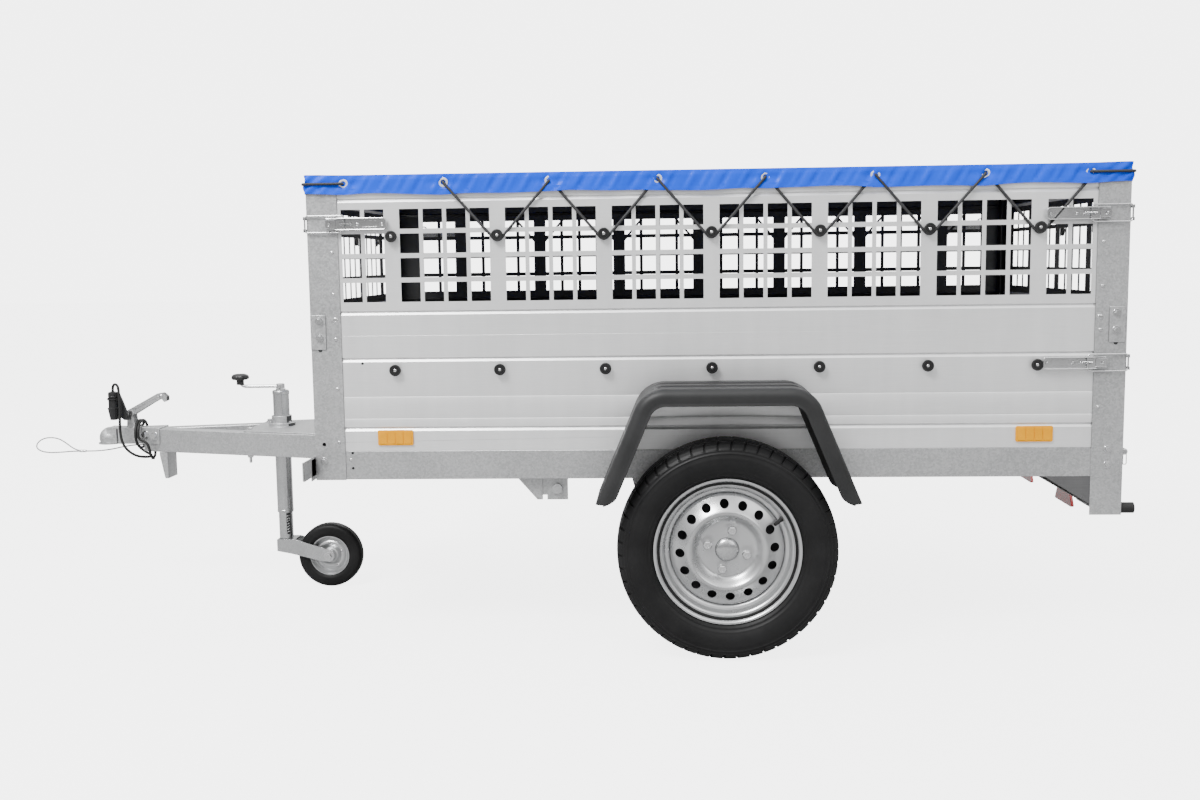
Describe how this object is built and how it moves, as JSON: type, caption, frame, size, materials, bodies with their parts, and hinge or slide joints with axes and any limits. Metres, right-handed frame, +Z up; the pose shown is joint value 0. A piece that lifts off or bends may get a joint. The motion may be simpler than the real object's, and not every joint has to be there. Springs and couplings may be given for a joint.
{
  "type": "utility trailer",
  "caption": "Single-axle box trailer with punched grille boards, flat cover, tipping V drawbar, ball coupling, jockey-wheel jack and drop tailgate.",
  "frame": {"origin": "on the ground under the middle of the trailer's length and width", "axes": "+X to the rear, -Y to the left side, +Z up"},
  "size_m": [3.1286, 1.544, 1.2113],
  "materials": {
    "board_zinc": "smooth galvanised sheet",
    "frame_zinc": "spangled hot-dip zinc",
    "black_steel": "satin",
    "plywood": "film-faced",
    "mudguard_plastic": "fine grain",
    "tyre_rubber": "matte",
    "wheel_silver": "satin silver",
    "bare_steel": "plain",
    "cover_pvc": "coated fabric",
    "rope_rubber": "woven sleeve",
    "knob_plastic": "moulded",
    "latch_chrome": "bright zinc",
    "amber_lens": "prismatic",
    "white_lens": "prismatic",
    "red_lens": "prismatic",
    "black_rubber": "matte",
    "plug_plastic": "moulded",
    "wire_rope": "stranded"
  },
  "bodies": {
    "chassis": {"axle_beam": "frame_zinc", "cover": "cover_pvc", "cover_rope": "rope_rubber", "cover_skirt": "cover_pvc", "cross_members": "frame_zinc", "floor_panel": "plywood", "front_board": "board_zinc", "front_reflectors": "white_lens", "gate_hinge_lugs": "frame_zinc", "grille_front": "board_zinc", "grille_left": "board_zinc", "grille_rear": "board_zinc", "grille_right": "board_zinc", "lamp_bar": "frame_zinc", "lower_posts": "frame_zinc", "mudguard_left": "mudguard_plastic", "mudguard_right": "mudguard_plastic", "pivot_brackets": "frame_zinc", "post_splices": "frame_zinc", "rear_gussets": "black_steel", "rear_lamps": "red_lens", "rope_knobs": "knob_plastic", "side_board_left": "board_zinc", "side_board_right": "board_zinc", "side_rails": "frame_zinc", "side_reflectors": "amber_lens", "swing_arm_left": "frame_zinc", "swing_arm_right": "frame_zinc", "tail_buffers": "black_rubber", "toggle_latches": "latch_chrome", "upper_posts": "frame_zinc"},
    "drawbar": {"cable_coil": "black_rubber", "cable_run": "black_rubber", "coupling_cup": "frame_zinc", "coupling_head": "frame_zinc", "coupling_lever": "frame_zinc", "drawbar_gusset": "frame_zinc", "drawbar_left": "frame_zinc", "drawbar_right": "frame_zinc", "jack_crank": "frame_zinc", "jack_crank_knob": "knob_plastic", "jack_outer_tube": "frame_zinc", "parking_foot": "frame_zinc", "pivot_tube": "frame_zinc", "plug": "plug_plastic", "plug_holder": "plug_plastic", "safety_loop": "wire_rope", "safety_wire": "wire_rope"},
    "jockey_leg": {"jack_inner_tube": "bare_steel"},
    "jockey_fork": {"jockey_fork": "bare_steel"},
    "jockey_wheel": {"jockey_rim": "bare_steel", "jockey_tyre": "tyre_rubber"},
    "wheel_left": {"hub_left": "bare_steel", "rim_left": "wheel_silver", "tyre_left": "tyre_rubber"},
    "wheel_right": {"hub_right": "bare_steel", "rim_right": "wheel_silver", "tyre_right": "tyre_rubber"},
    "tailgate": {"gate_fittings": "latch_chrome", "tailgate": "board_zinc"}
  },
  "joints": [
    {"name": "drawbar_tilt", "type": "hinge", "parent": "chassis", "child": "drawbar", "pos_m": [-0.0055, 0, 0.399], "axis": [0, -1, 0], "range_deg": [0, 27]},
    {"name": "jack_lift", "type": "slide", "parent": "drawbar", "child": "jockey_leg", "axis": [0, 0, 1], "range_m": [-0.13, 0.07]},
    {"name": "jockey_swivel", "type": "hinge", "parent": "jockey_leg", "child": "jockey_fork", "pos_m": [-0.8935, 0, 0.15], "axis": [0, 0, 1], "continuous": true},
    {"name": "jockey_spin", "type": "hinge", "parent": "jockey_fork", "child": "jockey_wheel", "pos_m": [-0.7555, 0, 0.098], "axis": [0, 1, 0], "continuous": true},
    {"name": "wheel_left_spin", "type": "hinge", "parent": "chassis", "child": "wheel_left", "pos_m": [0.427, -0.663, 0.2735], "axis": [0, 1, 0], "continuous": true},
    {"name": "wheel_right_spin", "type": "hinge", "parent": "chassis", "child": "wheel_right", "pos_m": [0.427, 0.663, 0.2735], "axis": [0, 1, 0], "continuous": true},
    {"name": "tailgate_hinge", "type": "hinge", "parent": "chassis", "child": "tailgate", "pos_m": [1.4385, 0, 0.489], "axis": [0, 1, 0], "range_deg": [0, 173]}
  ]
}
